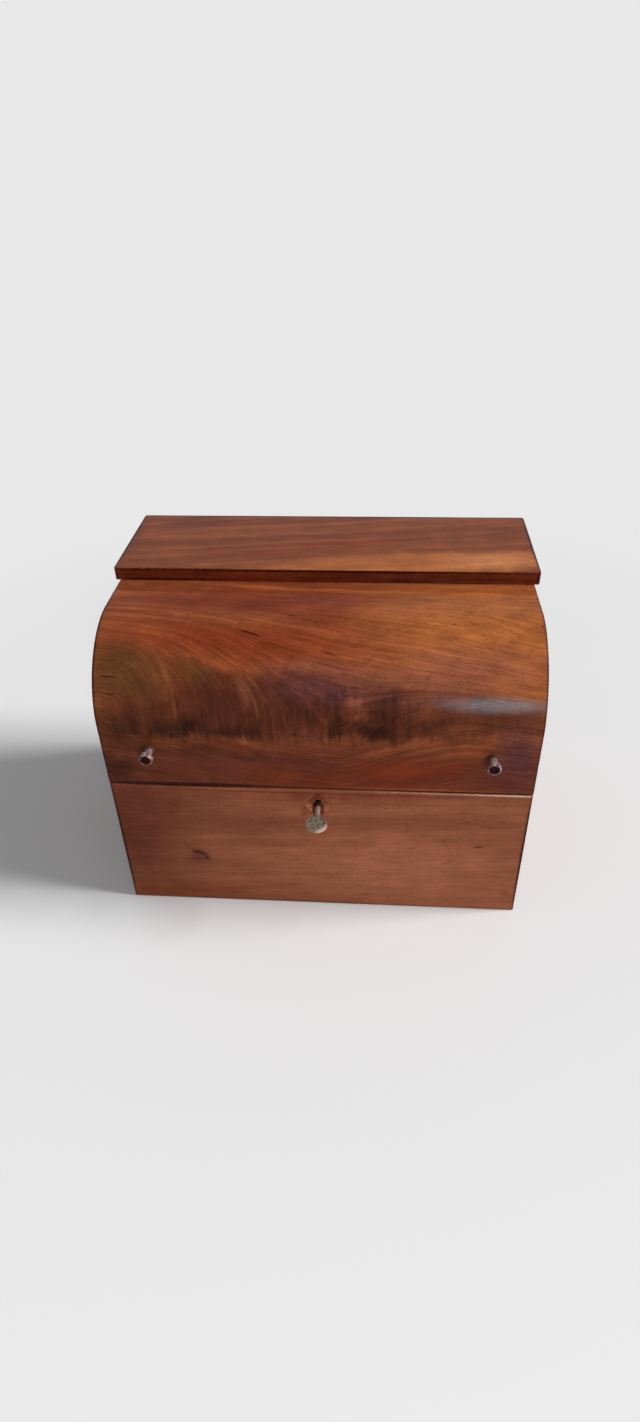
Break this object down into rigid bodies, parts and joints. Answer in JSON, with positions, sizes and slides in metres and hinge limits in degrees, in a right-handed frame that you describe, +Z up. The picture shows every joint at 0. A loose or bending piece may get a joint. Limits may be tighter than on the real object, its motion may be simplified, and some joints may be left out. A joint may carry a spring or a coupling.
{
  "type": "desk letter box",
  "caption": "Mahogany desk box for letters with a curved lid front, raised top board, lifting knobs, letter racks inside, and a box lock with its key.",
  "frame": {"origin": "middle of the underside of the box, below the middle of its wooden body", "axes": "+X to the right along the box, +Y from the front to the back, +Z up"},
  "size_m": [0.318, 0.2369, 0.249],
  "materials": {
    "mahogany_front": "old shellac polish",
    "mahogany_case": "old shellac polish",
    "mahogany_top": "worn polish",
    "rack_wood": "planed and oiled",
    "bottom_pine": "aged, unfinished",
    "boxwood_inlay": "polished with the box",
    "knob_metal": "worn nickel",
    "key_metal": "worn and dull",
    "lock_brass": "aged",
    "dark_steel": "dark, lightly oiled"
  },
  "bodies": {
    "base": {"base_front": "mahogany_front", "base_back": "mahogany_case", "base_left_end": "mahogany_case", "base_right_end": "mahogany_case", "bottom_board": "bottom_pine", "bottom_pins": "dark_steel", "front_rack": "rack_wood", "rear_rack": "rack_wood", "hinge_leaf_base_left": "lock_brass", "hinge_leaf_base_right": "lock_brass", "hinge_pin_left": "dark_steel", "hinge_pin_right": "dark_steel", "hinge_screws_base": "lock_brass", "lock_plate": "lock_brass", "lock_cap": "lock_brass", "cap_pillars": "lock_brass", "drill_pin": "dark_steel", "lock_screws": "lock_brass", "escutcheon": "boxwood_inlay"},
    "lid": {"curved_front": "mahogany_front", "lid_left_end": "mahogany_case", "lid_right_end": "mahogany_case", "lid_back": "mahogany_case", "top_board": "mahogany_top", "top_batten": "mahogany_case", "knob_left": "knob_metal", "knob_right": "knob_metal", "knob_screws": "dark_steel", "knob_washers": "dark_steel", "hinge_leaf_lid_left": "lock_brass", "hinge_leaf_lid_right": "lock_brass", "hinge_screws_lid": "lock_brass", "link_plate": "lock_brass", "link_plate_screws": "lock_brass"},
    "key": {"key": "key_metal"},
    "bolt": {"lock_bolt": "lock_brass", "bolt_spring": "dark_steel"}
  },
  "joints": [
    {"name": "lid_hinge", "type": "hinge", "parent": "base", "child": "lid", "pos_m": [0, 0.1044, 0.1245], "axis": [-1, 0, 0], "range_deg": [0, 180]},
    {"name": "key_turn", "type": "hinge", "parent": "base", "child": "key", "pos_m": [0, -0.1015, 0.1087], "axis": [0, 1, 0], "range_deg": [0, 180]},
    {"name": "bolt_slide", "type": "slide", "parent": "base", "child": "bolt", "axis": [1, 0, 0], "range_m": [0, 0.0036]}
  ],
  "couplings": [
    {"joint": "bolt_slide", "follows": "key_turn", "m_per_rad": 0.0011459}
  ]
}
